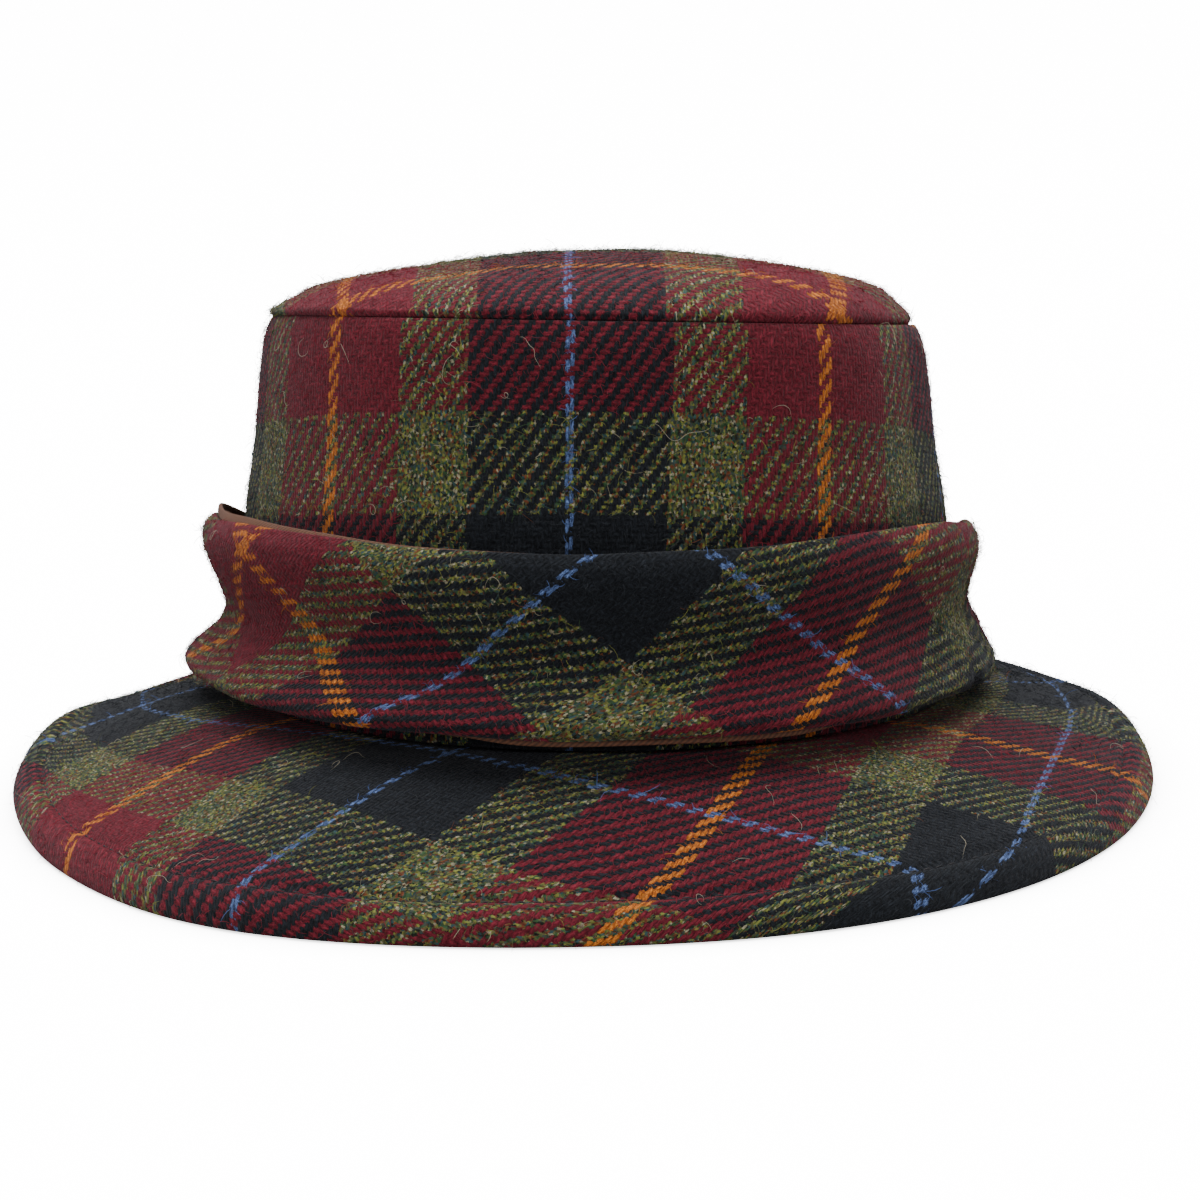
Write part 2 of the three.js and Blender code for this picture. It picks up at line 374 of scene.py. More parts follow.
repeat = add(tweed, "ShaderNodeMath", {"operation": "FRACT"}, {0: share.outputs[0]})
dark = add(tweed, "ShaderNodeValToRGB", None, {0: repeat.outputs[0]})
stripes(dark.color_ramp,
        {"blue": "#18233f", "black": "#0d0f12", "olive": "#24261a", "wine": "#46101a", "orange": "#7e3c14"})
light = add(tweed, "ShaderNodeValToRGB", {"name": "light yarn"}, {0: repeat.outputs[0]})
stripes(light.color_ramp,
        {"blue": "#6c84b8", "black": "#262a30", "olive": "#66664e", "wine": "#7c2834", "orange": "#dc8434"})
heather = add(tweed, "ShaderNodeValToRGB", None, {0: repeat.outputs[0]})
stripes(heather.color_ramp,
        {"blue": "#000000", "black": "#000000", "olive": "#ffffff", "wine": "#000000", "orange": "#000000"})
float_tone = add(tweed, "ShaderNodeTexWhiteNoise", {"noise_dimensions": "3D"}, {0: thread_number.outputs[0]})
tufts = add(tweed, "ShaderNodeTexVoronoi", {"voronoi_dimensions": "3D"},
            {0: thread_place.outputs[0], "Scale": 2.1})
tuft_number = add(tweed, "ShaderNodeSeparateColor", None, {0: tufts.outputs[1]})
flecks = add(tweed, "ShaderNodeValToRGB", {"name": "flecks"}, {0: tuft_number.outputs[0]})
flecks.color_ramp.interpolation = "CONSTANT"
fleck_colours = [(0.0, "#0f1311"), (0.15, "#2f4d2f"), (0.31, "#595934"), (0.47, "#28464b"), (0.57, "#6b3721"),
                 (0.68, "#797c39"), (0.82, "#39423c"), (0.93, "#968f76")]
while len(flecks.color_ramp.elements) < len(fleck_colours):
    flecks.color_ramp.elements.new(0.5)
for stop, (position, colour) in zip(flecks.color_ramp.elements, fleck_colours):
    stop.position = position
    stop.color = linear(colour)
fibre_tone = add(tweed, "ShaderNodeMapRange", {"interpolation_type": "SMOOTHSTEP"},
                 {0: fibres.outputs[0], 1: 0.34, 2: 0.72, 3: 0.0, 4: 1.0})
felt = add(tweed, "ShaderNodeMapRange", None, {0: fleece.outputs[0], 1: 0.3, 2: 0.7, 3: 0.8, 4: 1.2})
yarn = add(tweed, "ShaderNodeMix", {"data_type": "RGBA"},
           {0: fibre_tone.outputs[0], 6: dark.outputs[0], 7: light.outputs[0]})
heather_amount = add(tweed, "ShaderNodeMath", {"name": "heather amount", "operation": "MULTIPLY"},
                     {0: heather.outputs[0], 1: 0.85})
mixed = add(tweed, "ShaderNodeMix", {"data_type": "RGBA"},
            {0: heather_amount.outputs[0], 6: yarn.outputs[2], 7: flecks.outputs[0]})

# The gaps between the yarns get painted shade and each float's crown a painted highlight, by the height of
# the yarn on top. Each crossing is also a little lighter or darker than the next, at random.
depth = add(tweed, "ShaderNodeMapRange", {"interpolation_type": "SMOOTHSTEP"},
            {0: top_height.outputs[0], 1: 1.2, 2: 3.4, 3: 0.64, 4: 1.13})
float_light = add(tweed, "ShaderNodeMapRange", None, {0: float_tone.outputs[0], 3: 0.8, 4: 1.17})
shade_and_float_tones = add(tweed, "ShaderNodeMath", {"operation": "MULTIPLY"},
                  {0: depth.outputs[0], 1: float_light.outputs[0]})
shade_and_tone = add(tweed, "ShaderNodeMath", {"operation": "MULTIPLY"},
           {0: shade_and_float_tones.outputs[0], 1: felt.outputs[0]})
# The yarn's colour times the painted shade and highlight and the random tones.
cloth_colour_with_painted_shade = add(tweed, "ShaderNodeMix", {"data_type": "RGBA", "blend_type": "MULTIPLY"},
                   {0: 1.0, 6: mixed.outputs[2], 7: shade_and_tone.outputs[0]})
relief = add(tweed, "ShaderNodeMath", {"operation": "MULTIPLY_ADD"},
             {0: fibres.outputs[0], 1: 0.9, 2: top_height.outputs[0]})
raised = add(tweed, "ShaderNodeBump", None,
             {"Strength": 0.6, "Distance": 0.0002, "Height": relief.outputs[0]})
for socket, value in {"Roughness": 0.95, "Specular IOR Level": 0.15, "Sheen Weight": 0.08,
                      "Sheen Roughness": 0.4, "Sheen Tint": linear("#f9f8ff")}.items():
    tweed_surface.inputs[socket].default_value = value
tweed.node_tree.links.new(cloth_colour_with_painted_shade.outputs[2], tweed_surface.inputs["Base Color"])
tweed.node_tree.links.new(raised.outputs[0], tweed_surface.inputs["Normal"])

# Loose fibres of the nap catch the light, so they are the yarn's lighter colour.
loose_wool = tweed.copy()
loose_wool.name = "loose wool fibre"
loose_light = loose_wool.node_tree.nodes["light yarn"]
stripes(loose_light.color_ramp,
        {"blue": "#54699c", "black": "#26292d", "olive": "#6a6a50", "wine": "#7a2834", "orange": "#a8642c"})
loose_colour = add(loose_wool, "ShaderNodeMix", {"data_type": "RGBA"},
                   {0: loose_wool.node_tree.nodes["heather amount"].outputs[0], 6: loose_light.outputs[0],
                    7: loose_wool.node_tree.nodes["flecks"].outputs[0]})
loose_surface = loose_wool.node_tree.nodes["Principled BSDF"]
loose_wool.node_tree.links.new(loose_colour.outputs[2], loose_surface.inputs["Base Color"])
loose_wool.node_tree.links.remove(loose_surface.inputs["Normal"].links[0])


def side_threads(along, down):
    """The side band is cut from cloth whose warp runs up the hat, on an arc of 1 m radius."""
    radius, ends_a_mm, picks_a_mm = 1000, 1.027, 0.774
    x = (radius + down) * np.sin(along / radius)
    y = (radius + down) * np.cos(along / radius) - radius
    return 5.4 + ends_a_mm * x + 0.032 * y, -57.8 + picks_a_mm * y


# Rows lie close together at the seam, where the cloth turns in. From row 34 on the cuff hides the band.
seam_rows, open_rows = 8, 34
side_levels = np.concatenate([np.linspace(0, -6, seam_rows), np.linspace(-8, -88.8, 42)])
side_band = np.array([crown_ring(level, column_at(side_rows, 1, level), side_stance)
                      for level in side_levels])
side_along, side_down = along_cloth(side_band)
side_swell = waves(len(side_levels), height=0.7, across=(2, 5, 9, 13), seed=4)
side_swell[:seam_rows] *= np.linspace(0, 1, seam_rows)[:, None]
side_swell -= 0.45 * np.exp(-side_down / 1.2)
side_swell += back_seam(depth=1.2, width=1.0, along=side_along)
side_band = side_band + outward(side_band) * side_swell[:, :, None]
crown_side = wall("tweed_side_band", side_band, side_thickness, side_along, side_down, side_threads,
                  turned_edges=(False, False))
crown_side.data.materials.append(tweed)
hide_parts("crown_side")
side_cloth = np.stack(side_threads(side_along, side_down), 2)
side_nap = nap("side_band_nap", side_band[2:open_rows], side_cloth[2:open_rows],
               count=22000, length=2.3, stand=24, seed=11)
side_nap.data.materials.append(loose_wool)


# Tip: one oval of the same tweed, sewn to the side band's top edge. It is domed, slopes down a little to
# the back, and its edge rolls over just above the seam, so the seam is a dark groove under a soft ridge.
tip_rows = [
    # reach, rise
    (0, 1), (0.2, 0.98), (0.4, 0.89), (0.6, 0.76), (0.75, 0.64), (0.86, 0.51), (0.94, 0.34), (0.985, 0.19),
    (1, 0.12),
]
dome_rise = 16.8
dome_half_width = 77.8
tip_thickness = 2.0
rolled_edge = [
    # half width, height: out over the seam, under, and down inside the side band as the seam's allowance
    (78.2, 1.8), (78.35, 1.3), (78.3, 0.8), (78.15, 0.35), (77.9, 0.05), (77.5, -0.1),
    (76.4, -0.1), (75.3, -0.1), (75.0, -0.6), (74.9, -1.8), (74.9, -4.0), (74.9, -6.5),
]


def tip_threads(rings):
    """The tip's warp runs front to back. Its orange pick crosses 50 mm in front of the hat's middle."""
    middle = rings[0].mean(0)
    outwards = rings[..., :2] - middle[:2]
    plan = np.maximum(np.linalg.norm(outwards, axis=2), 0.1)
    slant = np.linalg.norm(np.diff(rings, axis=0), axis=2)
    laid = plan[0] + np.concatenate([np.zeros((1, rings.shape[1])), np.cumsum(slant, axis=0)])
    flat = middle[:2] + outwards * (laid / plan)[..., None]
    share_across = (flat[..., 0] + 0.75) / 56.9
    ends = 64 * share_across - 5.6 * share_across**2
    ahead = flat[..., 1] + 50.6 + 6 * (flat[..., 0] / 50) ** 2
    picks = -64 - np.where(ahead < 0, 0.56, 0.775) * ahead
    return ends, picks


tip_reach = np.concatenate([np.linspace(0.01, 0.9, 30), np.linspace(0.91, 1.0, 10)])
dome_rows = len(tip_reach)
tip_rings = []
for reach in tip_reach:
    height = dome_rise * column_at(tip_rows, 1, reach)
    tip_rings.append(crown_ring(0, dome_half_width * reach, side_stance, 0, lambda across, along:
                                0.4 + height * (1 + 0.15 * reach * across - 0.08 * (reach * across) ** 2)))
for half_width, height in rolled_edge:
    tip_rings.append(crown_ring(0, half_width, side_stance, 0, lambda across, along: height))
tip_rings = np.array(tip_rings)

# The ends of the oval are drawn in by these millimetres at these rows. The left rolled edge stands out.
tip_row = np.arange(len(tip_rings))
tip_across = oval(side_stance[0][4])[0]
at_right = np.interp(tip_row, [29, 36, 44, 47], [0, 1.6, 1.5, 0])
at_left = np.interp(tip_row, [27, 34, 39, 42, 44, 46], [0, 1.2, 0.2, -0.9, -0.9, 0])
tip_rings[:, :, 0] -= at_right[:, None] * np.maximum(tip_across, 0) ** 4
tip_rings[:, :, 0] += at_left[:, None] * np.maximum(-tip_across, 0) ** 4
tip_swell = waves(len(tip_rings), height=0.8, across=(2, 3, 7, 11), seed=9)
swell_share = np.concatenate([np.linspace(0, 1, 30), np.ones(10), np.linspace(0.8, 0, 6), np.zeros(6)])
tip_swell *= swell_share[:, None]
tip_rings = tip_rings + outward(tip_rings) * tip_swell[:, :, None]


def dome(name, outer, thickness, threads):
    """A closed cap of cloth: an outer and an inner face from the middle out, joined at the rim."""
    allowance_radius = 76
    facing = outward(outer)
    facing[0] = facing[0].mean(0)
    inner = (outer - facing * thickness)[:dome_rows]
    middle = outer[-1].mean(0)
    allowance = middle + (outer[-2:] - middle) * (1 - thickness / allowance_radius)
    section = np.concatenate([outer, allowance[::-1], inner[::-1]])[:, :-1]
    ends, picks = threads(outer)
    ends = np.concatenate([ends, ends[:-3:-1], ends[dome_rows - 1::-1]])[:, :-1]
    picks = np.concatenate([picks, picks[:-3:-1], picks[dome_rows - 1::-1]])[:, :-1]
    rows, across = section.shape[:2]
    faces = [tuple(range(across))[::-1], tuple((rows - 1) * across + k for k in range(across))]
    for row in range(rows - 1):
        for column in range(across):
            beside = (column + 1) % across
            faces.append((row * across + column, (row + 1) * across + column,
                          (row + 1) * across + beside, row * across + beside))
    return mesh_object(name, section.reshape(-1, 3), faces, np.stack([ends.ravel(), picks.ravel()], 1))


crown_tip = dome("tweed_tip", tip_rings, tip_thickness, tip_threads)
crown_tip.data.materials.append(tweed)
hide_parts("crown_tip")
tip_cloth = np.stack(tip_threads(tip_rings), 2)
tip_nap = nap("tip_nap", tip_rings[3:46], tip_cloth[3:46], count=21000, length=2.2, stand=24, seed=12)
tip_nap.data.materials.append(loose_wool)


# Brim: two plies of tweed cut as one flat ring, sewn to the head opening and to each other. A row of
# stitches holds the plies together about 10 mm in from the rolled rim, and the brim turns down past it.
head_opening = {"level": -89.1, "half_width": 85.6}
rim = {"half_width": 140.4, "half_depth": 153.0, "height": 1.4}
stitch_line = {"inset": 7.0, "height": 6.4, "tilt": 1.0}
brim_thickness = 2.6
stitch_row = 35
rows_past_stitches = 12
brim_rows = [
    # out, rise
    (0, 1), (0.12, 0.97), (0.28, 0.87), (0.46, 0.7), (0.64, 0.48), (0.82, 0.24), (1, 0),
]


def brim_threads(along, down):
    """The brim is cut on an arc of 170 mm radius, with its warp from the front left to the back right.
    Its sides were stretched when it was pressed, so the check bends there. Past the stitches the cloth
    is eased in at both sides, and its threads slant towards the front."""
    radius = 170
    turned_down = np.maximum(down - brim_down[stitch_row], 0)
    down = down - turned_down * (0.62 * ease(-along, 15, 60) + 0.35 * ease(along, 15, 55))
    along = along + turned_down * (0.9 * np.clip(along / 35, 0, 1) + 0.6 * np.clip(along / 80, -1, 0))
    x = (radius + down) * np.sin(along / radius)
    y = (radius + down) * np.cos(along / radius) - radius
    side = np.clip(along, -190, 190) / 100
    ends = 30.2 + 0.947 * x + 0.518 * y - side**2 * (12.4 + 5.7 * side - 0.202 * down)
    picks = -12.1 - 0.37 * x + 0.766 * y - side**2 * (16.3 - 0.331 * down)
    return ends, picks


opening_ring = crown_ring(head_opening["level"], head_opening["half_width"], side_stance)

# The rim is an oval that is fuller in its left front quarter and narrower behind, and it lifts off the
# table at both sides, the left one more.
leftness, backness = np.sin(round_the_head), np.cos(round_the_head)
fuller_front = 0.15 * ease(leftness, 0, 0.5) * ease(-backness, 0.5, 0.9)
narrower_back = (0.27 + 0.13 * ease(leftness, -0.2, 0.2)) * ease(backness, 0, 0.5)
rim_across, rim_along = oval(2.2 + fuller_front - narrower_back)
rim_lift = np.where(rim_across < 0, 2.6, 0.8) * ease(abs(rim_across), 0.82, 0.97)
rim_lift *= ease(rim_along, -0.65, -0.1) * (1 - ease(rim_along, 0.2, 0.5))
stitch_y = (rim["half_depth"] - stitch_line["inset"]) * rim_along
stitch_x = (rim["half_width"] - stitch_line["inset"]) * rim_across
stitch_z = stitch_line["height"] - stitch_y * math.tan(math.radians(stitch_line["tilt"])) + 0.8 * rim_lift
stitch_ring = np.stack([stitch_x, stitch_y, stitch_z], 1)
rim_z = rim["height"] + rim_lift
rim_ring = np.stack([rim["half_width"] * rim_across, rim["half_depth"] * rim_along, rim_z], 1)
brim_rings = []
settled_behind = 1.5 * ease(rim_along, -0.2, 0.4)
for share_out in np.linspace(0, 1, stitch_row + 1):
    ring = opening_ring + (stitch_ring - opening_ring) * share_out
    rise_there = column_at(brim_rows, 1, share_out)
    ring[:, 2] = stitch_ring[:, 2] + (opening_ring[:, 2] - stitch_ring[:, 2]) * rise_there
    ring[:, 2] -= settled_behind * math.sin(math.pi * share_out)
    brim_rings.append(ring)
for share_down in np.linspace(0.08, 1, rows_past_stitches):
    ring = stitch_ring + (rim_ring - stitch_ring) * share_down
    out = math.sin(math.pi * share_down) * 1.1
    ring[:, 0] += out * rim_across
    ring[:, 1] += out * rim_along
    ring[:, 2] += out * 0.6
    brim_rings.append(ring)
brim_rings = np.array(brim_rings)
brim_along, brim_down = along_cloth(brim_rings)
brim_swell = waves(len(brim_rings), height=0.8, across=(3, 5, 8, 14), seed=21)
brim_swell *= np.concatenate([np.linspace(0.2, 1, 32), np.linspace(1, 0.3, 16)])[:, None]
from_stitches = brim_down - brim_down[stitch_row]
brim_swell -= 1.2 * np.exp(-(from_stitches / 0.9) ** 2)
brim_swell += back_seam(depth=1.0, width=1.0, along=brim_along)
brim_rings = brim_rings + outward(brim_rings) * brim_swell[:, :, None]
brim = wall("tweed_brim", brim_rings, brim_thickness, brim_along, brim_down, brim_threads,
            turned_edges=(False, True))
brim.data.materials.append(tweed)
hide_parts("brim")
brim_cloth = np.stack(brim_threads(brim_along, brim_down), 2)
brim_nap = nap("brim_nap", brim_rings[4:], brim_cloth[4:], count=26000, length=2.5, stand=24, seed=13)
brim_nap.data.materials.append(loose_wool)


def strands(name, paths, radius, sides=4):
    """Thin round strands through lines of points in millimetres, finer towards both ends."""
    count, steps = paths.shape[:2]
    ahead = np.gradient(paths, axis=1)
    ahead = ahead / np.linalg.norm(ahead, axis=2, keepdims=True)
    one = np.cross(ahead, (0.31, 0.17, 0.94))
    one = one / np.linalg.norm(one, axis=2, keepdims=True)
    other = np.cross(ahead, one)
    angle = np.arange(sides)[:, None] * 2 * math.pi / sides
    around = one[:, :, None] * np.cos(angle) + other[:, :, None] * np.sin(angle)
    taper = radius * np.sin(np.linspace(0.12, math.pi - 0.12, steps)) ** 0.5
    points = paths[:, :, None] + around * taper[:, None, None]
    first = (np.arange(count)[:, None] * steps + np.arange(steps - 1)) * sides
    faces = []
    for side in range(sides):
        beside = (side + 1) % sides
        quads = np.stack([first + side, first + sides + side, first + sides + beside, first + beside], 2)
        faces += quads.reshape(-1, 4).tolist()
    return mesh_object(name, points.reshape(-1, 3), faces)


# Stitches: one row of sewing thread through both plies of the brim, showing on top and below. Each
# shows for 2.7 mm of every 3.6 and lies in the groove that it pulls. Its dull, nearly black colour is partly
# the thread's own dark colour and partly painted shade of that groove.
thread_with_painted_groove_shade, thread_surface = new_material("sewing thread with painted groove shade")
# Nearly black: the thread's dark colour with painted shade of the stitch groove.
thread_surface.inputs["Base Color"].default_value = linear("#17151a")
thread_surface.inputs["Roughness"].default_value = 0.7
shown_length, stitch_pitch, thread_radius = 2.7, 3.6, 0.25
sewn_line, sewn_facing = brim_rings[stitch_row], outward(brim_rings)[stitch_row]
sewn_length = np.concatenate([[0], np.cumsum(np.linalg.norm(np.diff(sewn_line, axis=0), axis=1))])
stitch_share = np.linspace(0, 1, 7)
sewn_at = np.arange(0, sewn_length[-1] - stitch_pitch, stitch_pitch)[:, None] + shown_length * stitch_share
sewn_points = np.stack([np.interp(sewn_at, sewn_length, sewn_line[:, axis]) for axis in range(3)], 2)
sewn_up = np.stack([np.interp(sewn_at, sewn_length, sewn_facing[:, axis]) for axis in range(3)], 2)
arch = (0.5 * np.sin(math.pi * stitch_share) - 0.25)[:, None]
sewn_above = sewn_points + sewn_up * arch
sewn_below = sewn_points - sewn_up * (brim_thickness + arch)
stitches = strands("brim_stitches", np.concatenate([sewn_above, sewn_below]), thread_radius)
stitches.data.materials.append(thread_with_painted_groove_shade)


# Cuff: a wide band of the same tweed cut on the bias, folded along its upper edge and standing round the
# crown. It is drawn in round its waist, flares to its lower edge, and sags a little at both sides.
cuff_stance = [
    # level, tilt, lean, depth, exponent, sag at left, sag at right
    (-44.4, 5.1, 0.7, 1.14, 1.88, 1.4, 4.5),
    (-85.2, 4.4, 1.3, 1.15, 1.94, 0, 0),
]
cuff_rows = [
    # level, half width, shift
    (-44.4, 93.4, -0.5), (-46.9, 95, -0.9), (-51.5, 95.5, -0.9), (-56, 94.4, -0.6), (-63, 92.1, 0),
    (-69, 91.2, 0.4), (-74, 93.8, 0.4), (-78, 97.6, -0.6), (-80.5, 99.5, -1.2), (-82.2, 99.9, -1.3),
    (-83.6, 99.2, -1.4),
]
cuff_thickness = 2.4
cuff_foot, cuff_height = -84, 39
cuff_grid_rows = 48


def cuff_threads(along, down):
    """The cuff is a straight strip cut across the cloth at about 45 degrees."""
    return 0.5 + 0.672 * along + 0.762 * down, 12.5 - 0.481 * along + 0.564 * down


def cuff_ring(level):
    """A ring of the cuff. Behind each ear its upper edge dips and lies nearer the crown."""
    across, along = oval(column_at(cuff_stance, 4, level))
    fades_behind = 1 - ease(along, 0.6, 0.95)
    behind_ear = np.where(across < 0, ease(along, -0.08, 0.42), ease(along, -0.1, 0.25)) * fades_behind
    pressed = np.where(across < 0, ease(along, -0.05, 0.27), ease(along, -0.25, 0.1)) * fades_behind
    share_up = (level - cuff_foot) / cuff_height

    def rise(across, along):
        sag = np.where(across < 0, column_at(cuff_stance, 5, level), column_at(cuff_stance, 6, level))
        dip = np.where(across < 0, 8.0, 6.5)
        lifted = 1.25 * ease(-across, 0.25, 0.7) * (1 - ease(-across, 0.85, 1))
        lifted += 1.4 * ease(across, 0.4, 0.75) * (1 - ease(across, 0.88, 1))
        lifted *= 1 - ease(along, -0.3, 0.1)
        return -sag * abs(across) ** 5 + (lifted - dip * behind_ear) * share_up

    ring = crown_ring(level, column_at(cuff_rows, 1, level), cuff_stance, column_at(cuff_rows, 2, level),
                      rise)
    middle = ring.mean(0)[:2]
    near_top = max(level + 56, 0) / 11
    pressed_in, half_width_there = 3.6, 93
    ring[:, :2] += (middle - ring[:, :2]) * (pressed_in / half_width_there * pressed * near_top**2)[:, None]
    fuller_right, fullest_level = 1.9, -71
    ring[:, 0] += fuller_right * math.exp(-((level - fullest_level) / 4.5) ** 2) * np.maximum(across, 0) ** 4
    return ring


cuff_rings = np.array([cuff_ring(level) for level in np.linspace(-45.2, -83.6, cuff_grid_rows)])
cuff_along, cuff_down = along_cloth(cuff_rings)
cuff_swell = waves(len(cuff_rings), height=0.9, across=(3, 5, 9, 14), seed=31)
cuff_swell += back_seam(depth=1.2, width=1.0, along=cuff_along)

# A crease runs up from the lower edge at the right, where the flare folds.
crease_depth, crease_column = 2.0, 220.5
cuff_row, cuff_column = np.mgrid[:cuff_grid_rows, :columns + 1]
crease = np.exp(-((cuff_column - crease_column) / 1.2) ** 2) * ease(cuff_row, 36, 46)
cuff_swell -= crease_depth * crease
cuff_rings = cuff_rings + outward(cuff_rings) * cuff_swell[:, :, None]
cuff = wall("tweed_cuff", cuff_rings, cuff_thickness, cuff_along, cuff_down, cuff_threads)
cuff.data.materials.append(tweed)
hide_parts("cuff")
cuff_cloth = np.stack(cuff_threads(cuff_along, cuff_down), 2)
cuff_nap = nap("cuff_nap", cuff_rings, cuff_cloth, count=22000, length=2.3, stand=24, seed=14)
cuff_nap.data.materials.append(loose_wool)


# Facings: bias strips of smooth brown cloth behind the cuff's upper and lower edges, sewn to its turned
# edges. Each shows as a narrow rolled fold, matt, with slanting ribs where the weave is drawn tight. The
# ribs are drawn 1 mm apart, wider than real ones, so that they show.
brown, brown_surface = new_material("brown bias cloth")
rib_place = add(brown, "ShaderNodeAttribute", {"attribute_name": "cloth"})
ribs = add(brown, "ShaderNodeTexWave", {"wave_type": "BANDS", "bands_direction": "DIAGONAL"},
           {0: rib_place.outputs[1], "Scale": 0.45, "Distortion": 1.5, "Detail": 2.0})
brown_grain = add(brown, "ShaderNodeTexNoise", None, {0: rib_place.outputs[1], "Scale": 1.2, "Detail": 3.0})
brown_tone = add(brown, "ShaderNodeMix", {"data_type": "FLOAT"},
                 {0: 0.5, 2: ribs.outputs[1], 3: brown_grain.outputs[0]})
brown_colour = add(brown, "ShaderNodeValToRGB", None, {0: brown_tone.outputs[0]})
brown_colour.color_ramp.elements[0].color = linear("#2c190f")
brown_colour.color_ramp.elements[1].color = linear("#774c34")
brown_relief = add(brown, "ShaderNodeBump", None,
                   {"Strength": 0.6, "Distance": 0.0002, "Height": brown_tone.outputs[0]})
brown.node_tree.links.new(brown_colour.outputs[0], brown_surface.inputs["Base Color"])
brown.node_tree.links.new(brown_relief.outputs[0], brown_surface.inputs["Normal"])
brown_surface.inputs["Roughness"].default_value = 0.8


def straight_threads(along, down):
    """Millimetres along and down a plain strip."""
    return np.array(along), np.array(down)


facing_thickness, facing_rows, gap_behind = 1.1, 14, 0.3
behind_cuff = cuff_rings - outward(cuff_rings) * (cuff_thickness + gap_behind)
cuff_across, cuff_front_to_back = oval(1.9)
upper_rings = behind_cuff[:facing_rows].copy()
upper_rings[:, :, 2] += 1.7 - 0.6 * cuff_across + 2.0 * np.maximum(-cuff_across, 0) ** 5
at_ear = ease(cuff_front_to_back, -0.35, 0.05) * (1 - ease(cuff_front_to_back, 0.3, 0.7))
sloping_in = 3.4 * np.clip(np.arange(facing_rows) / 5, 0, 1)[:, None] * at_ear
upper_rings -= outward(upper_rings) * sloping_in[:, :, None]
upper_along, upper_down = along_cloth(upper_rings)
upper_facing = wall("brown_upper_facing", upper_rings, facing_thickness, upper_along, upper_down,
                    straight_threads)
lower_rings = behind_cuff[-facing_rows:].copy()
at_front = ease(cuff_across, -0.5, -0.15) * (1 - ease(cuff_across, 0.45, 0.72))
at_front *= 1 - ease(cuff_front_to_back, 0, 0.3)
lower_rings[:, :, 2] -= 0.3 + 1.9 * at_front
coming_forward = 1.1 * ease(np.arange(facing_rows), 10.5, 13)[:, None] * at_front
lower_rings += outward(lower_rings) * coming_forward[:, :, None]
lower_along, lower_down = along_cloth(lower_rings)
lower_facing = wall("brown_lower_facing", lower_rings, facing_thickness, lower_along, lower_down,
                    straight_threads)
for facing_piece, node_name in [(upper_facing, "cuff_upper_facing"), (lower_facing, "cuff_lower_facing")]:
    facing_piece.data.materials.append(brown)
    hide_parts(node_name)


# Loose fibres: long pale hairs of the same wool, dull and cream, that have worked out of the yarn and curl
# over the cloth. They are 0.11 mm thick, coarser than real ones, so that they show as in the photo.
pale_wool, pale_surface = new_material("pale stray fibre")
pale_surface.inputs["Base Color"].default_value = linear("#a39a86")
pale_surface.inputs["Roughness"].default_value = 0.8


def stray_fibres(name, rings, places, scattered, seed):
    """Curling fibres on a grid of rings: some at given rows, columns and lengths, and the rest scattered."""
    steps = 24
    random = np.random.RandomState(seed)
    rows, across = rings.shape[:2]
    facing = outward(rings)
    row_step = np.linalg.norm(np.gradient(rings, axis=0), axis=2)
    column_step = np.linalg.norm(np.gradient(rings, axis=1), axis=2)
    places = list(places)
    for _ in range(scattered):
        places.append((random.uniform(1, rows - 2), random.uniform(0, columns), random.uniform(4, 11)))
    paths = []
    for row, column, length in places:
        heading, bend = random.uniform(0, 2 * math.pi), random.normal(0, 0.45)
        height = random.uniform(0.3, 1.5)
        path = []
        for step in range(steps):
            row, column = min(max(row, 0.0), rows - 1.001), column % columns
            r, c = int(row), int(column)
            u, v = column - c, row - r
            at = [(1 - v) * ((1 - u) * grid[r, c] + u * grid[r, c + 1])
                  + v * ((1 - u) * grid[r + 1, c] + u * grid[r + 1, c + 1])
                  for grid in (rings, facing, row_step, column_step)]
            path.append(at[0] + at[1] * (0.15 + height * math.sin(math.pi * step / (steps - 1))))
            heading += bend * length / 12
            bend = 0.93 * bend + random.normal(0, 0.14)
            row += math.sin(heading) * length / (steps - 1) / max(at[2], 0.3)
            column += math.cos(heading) * length / (steps - 1) / max(at[3], 0.3)
        paths.append(path)
    strays = strands(name, np.array(paths), radius=0.055, sides=3)
    strays.data.materials.append(pale_wool)
    return strays


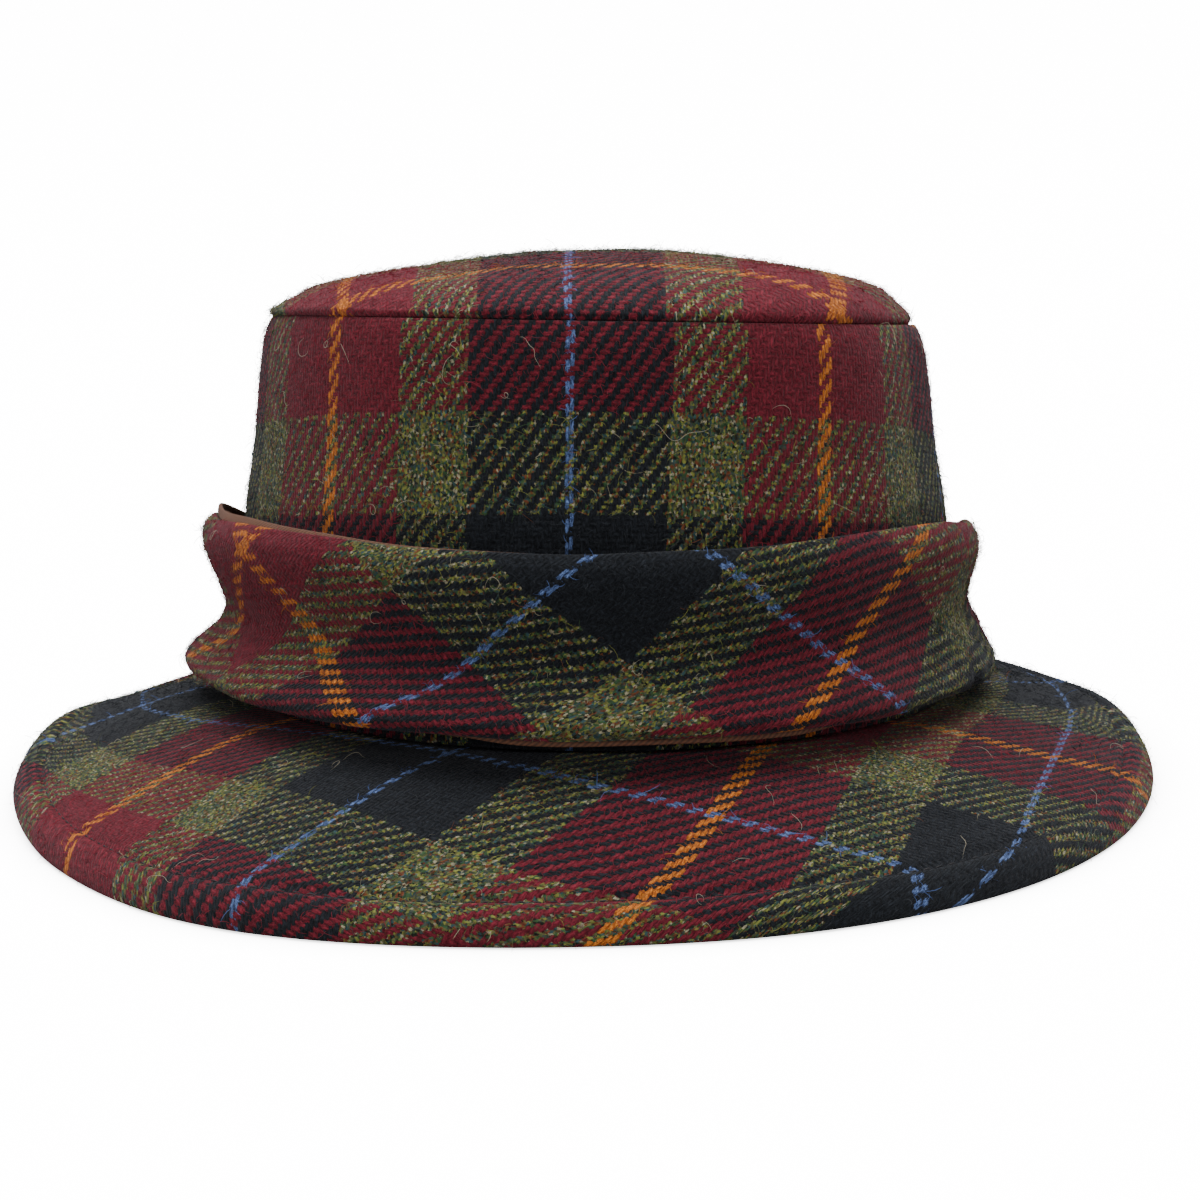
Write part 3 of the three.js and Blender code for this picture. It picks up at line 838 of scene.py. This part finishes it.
side_strays = stray_fibres("side_band_stray_fibres", side_band[:open_rows], [(9, 153, 9), (15, 167, 17)],
                           scattered=26, seed=41)
tip_strays = stray_fibres("tip_stray_fibres", tip_rings[6:44], [], scattered=16, seed=42)
brim_strays = stray_fibres("brim_stray_fibres", brim_rings[3:44], [(16, 178, 8), (20, 192, 8)],
                           scattered=30, seed=43)
cuff_strays = stray_fibres("cuff_stray_fibres", cuff_rings, [(30, 165, 9)], scattered=26, seed=44)


# Floor and light: a white sweep under a broad soft light from above and in front, as in a product picture.
# The sweep glows for camera rays alone, a painted light that shows it pure white while the hat is lit softly,
# and it glows less within 12 mm of the hat, a painted contact shadow.
sweep, sweep_surface = new_material("white paper with painted glow")
sweep_surface.inputs["Base Color"].default_value = linear("#acacac")
sweep_surface.inputs["Roughness"].default_value = 0.9
seen = add(sweep, "ShaderNodeLightPath")
near = add(sweep, "ShaderNodeAmbientOcclusion", {"samples": 8}, {"Distance": 0.012})
# Painted contact shadow: the glow drops where ambient occlusion finds the hat close by.
glow_with_painted_shadow = add(sweep, "ShaderNodeMapRange", None, {0: near.outputs[1], 1: 0.3, 2: 1.0, 3: 2.5, 4: 15.0})
glow = add(sweep, "ShaderNodeMath", {"operation": "MULTIPLY"}, {0: seen.outputs[0], 1: glow_with_painted_shadow.outputs[0]})
sweep_surface.inputs["Emission Color"].default_value = linear("#ffffff")
sweep.node_tree.links.new(glow.outputs[0], sweep_surface.inputs["Emission Strength"])
floor_mesh = bpy.data.meshes.new("floor")
floor_mesh.from_pydata([(-8, -6, 0), (8, -6, 0), (8, 14, 0), (-8, 14, 0)], [], [(0, 1, 2, 3)])
floor = bpy.data.objects.new("floor", floor_mesh)
floor.location.z = -0.0003
floor_mesh.materials.append(sweep)
bpy.context.scene.collection.objects.link(floor)
world = bpy.data.worlds.new("white room")
world.use_nodes = True
world.node_tree.nodes["Background"].inputs[0].default_value = linear("#ffffff")
world.node_tree.nodes["Background"].inputs[1].default_value = 0.36
bpy.context.scene.world = world
for name, lamp_place, lean_by, size, power in [
        ("soft box above", (0.0, 0.3, 1.6), -8, 2.0, 65),
        ("soft box in front", (-0.4, -2.2, 1.4), 60, 1.6, 15)]:
    lamp = bpy.data.lights.new(name, "AREA")
    lamp.shape = "SQUARE"
    lamp.size = size
    lamp.energy = power
    lamp_object = bpy.data.objects.new(name, lamp)
    lamp_object.matrix_world = Matrix.Translation(lamp_place) @ Matrix.Rotation(math.radians(lean_by), 4, "X")
    bpy.context.scene.collection.objects.link(lamp_object)
